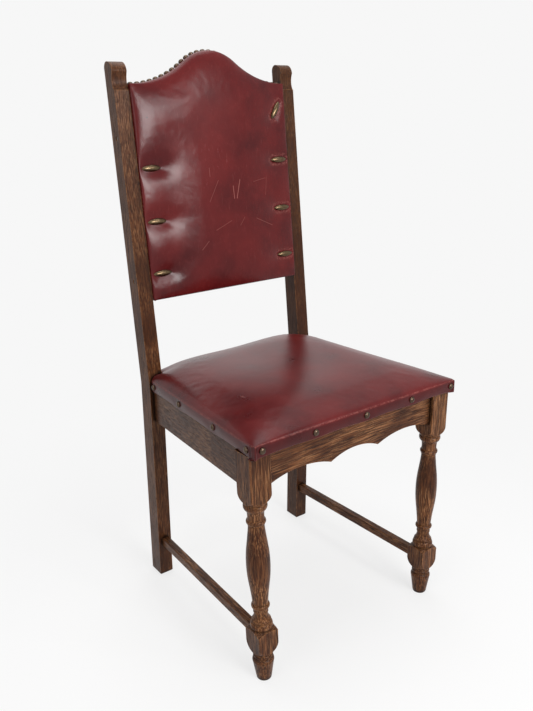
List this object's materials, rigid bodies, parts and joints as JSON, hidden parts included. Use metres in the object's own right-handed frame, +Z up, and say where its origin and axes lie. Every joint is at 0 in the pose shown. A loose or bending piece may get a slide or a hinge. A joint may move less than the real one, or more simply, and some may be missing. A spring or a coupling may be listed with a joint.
{
  "type": "leather upholstered oak side chair",
  "caption": "Antique oak side chair with turned front legs, raked rear posts, scalloped front rail, side stretchers, nailed leather seat and a padded leather back panel with arched crest.",
  "frame": {"origin": "on the floor, under the middle of the chair's overall length and width", "axes": "+Z up, -Y towards the front of the seat, +X to the right as seen from the front"},
  "size_m": [0.4588, 0.4708, 1.0488],
  "materials": {
    "oak": "dark stained oak, waxed and worn on the edges",
    "hidden_timber": "plain unstained timber",
    "leather": "worn oxblood leather with a soft sheen",
    "nail_metal": "darkened brass",
    "stud_metal": "rubbed brass",
    "screw_steel": "dull steel",
    "webbing": "woven jute",
    "stuffing": "hair and wadding"
  },
  "bodies": {
    "root": {"front_leg_left": "oak", "front_leg_right": "oak", "rear_post_left": "oak", "rear_post_right": "oak", "front_apron_rail": "oak", "side_rail_left": "oak", "side_rail_right": "oak", "rear_seat_rail": "oak", "side_stretcher_left": "oak", "side_stretcher_right": "oak", "corner_block_front_left": "hidden_timber", "corner_block_front_right": "hidden_timber", "corner_block_rear_left": "hidden_timber", "corner_block_rear_right": "hidden_timber", "corner_block_screws": "screw_steel", "seat_fixing_screws": "screw_steel", "seat_frame_front": "hidden_timber", "seat_frame_rear": "hidden_timber", "seat_frame_side_left": "hidden_timber", "seat_frame_side_right": "hidden_timber", "seat_webbing": "webbing", "seat_pad": "stuffing", "seat_cover": "leather", "seat_nails": "nail_metal", "back_crest_rail": "hidden_timber", "back_bottom_rail": "hidden_timber", "back_stile_left": "hidden_timber", "back_stile_right": "hidden_timber", "back_webbing": "webbing", "back_pad": "stuffing", "back_cover": "leather", "back_outside_cover": "leather", "crest_nails": "stud_metal", "back_studs": "stud_metal", "panel_screws": "screw_steel"}
  },
  "joints": []
}
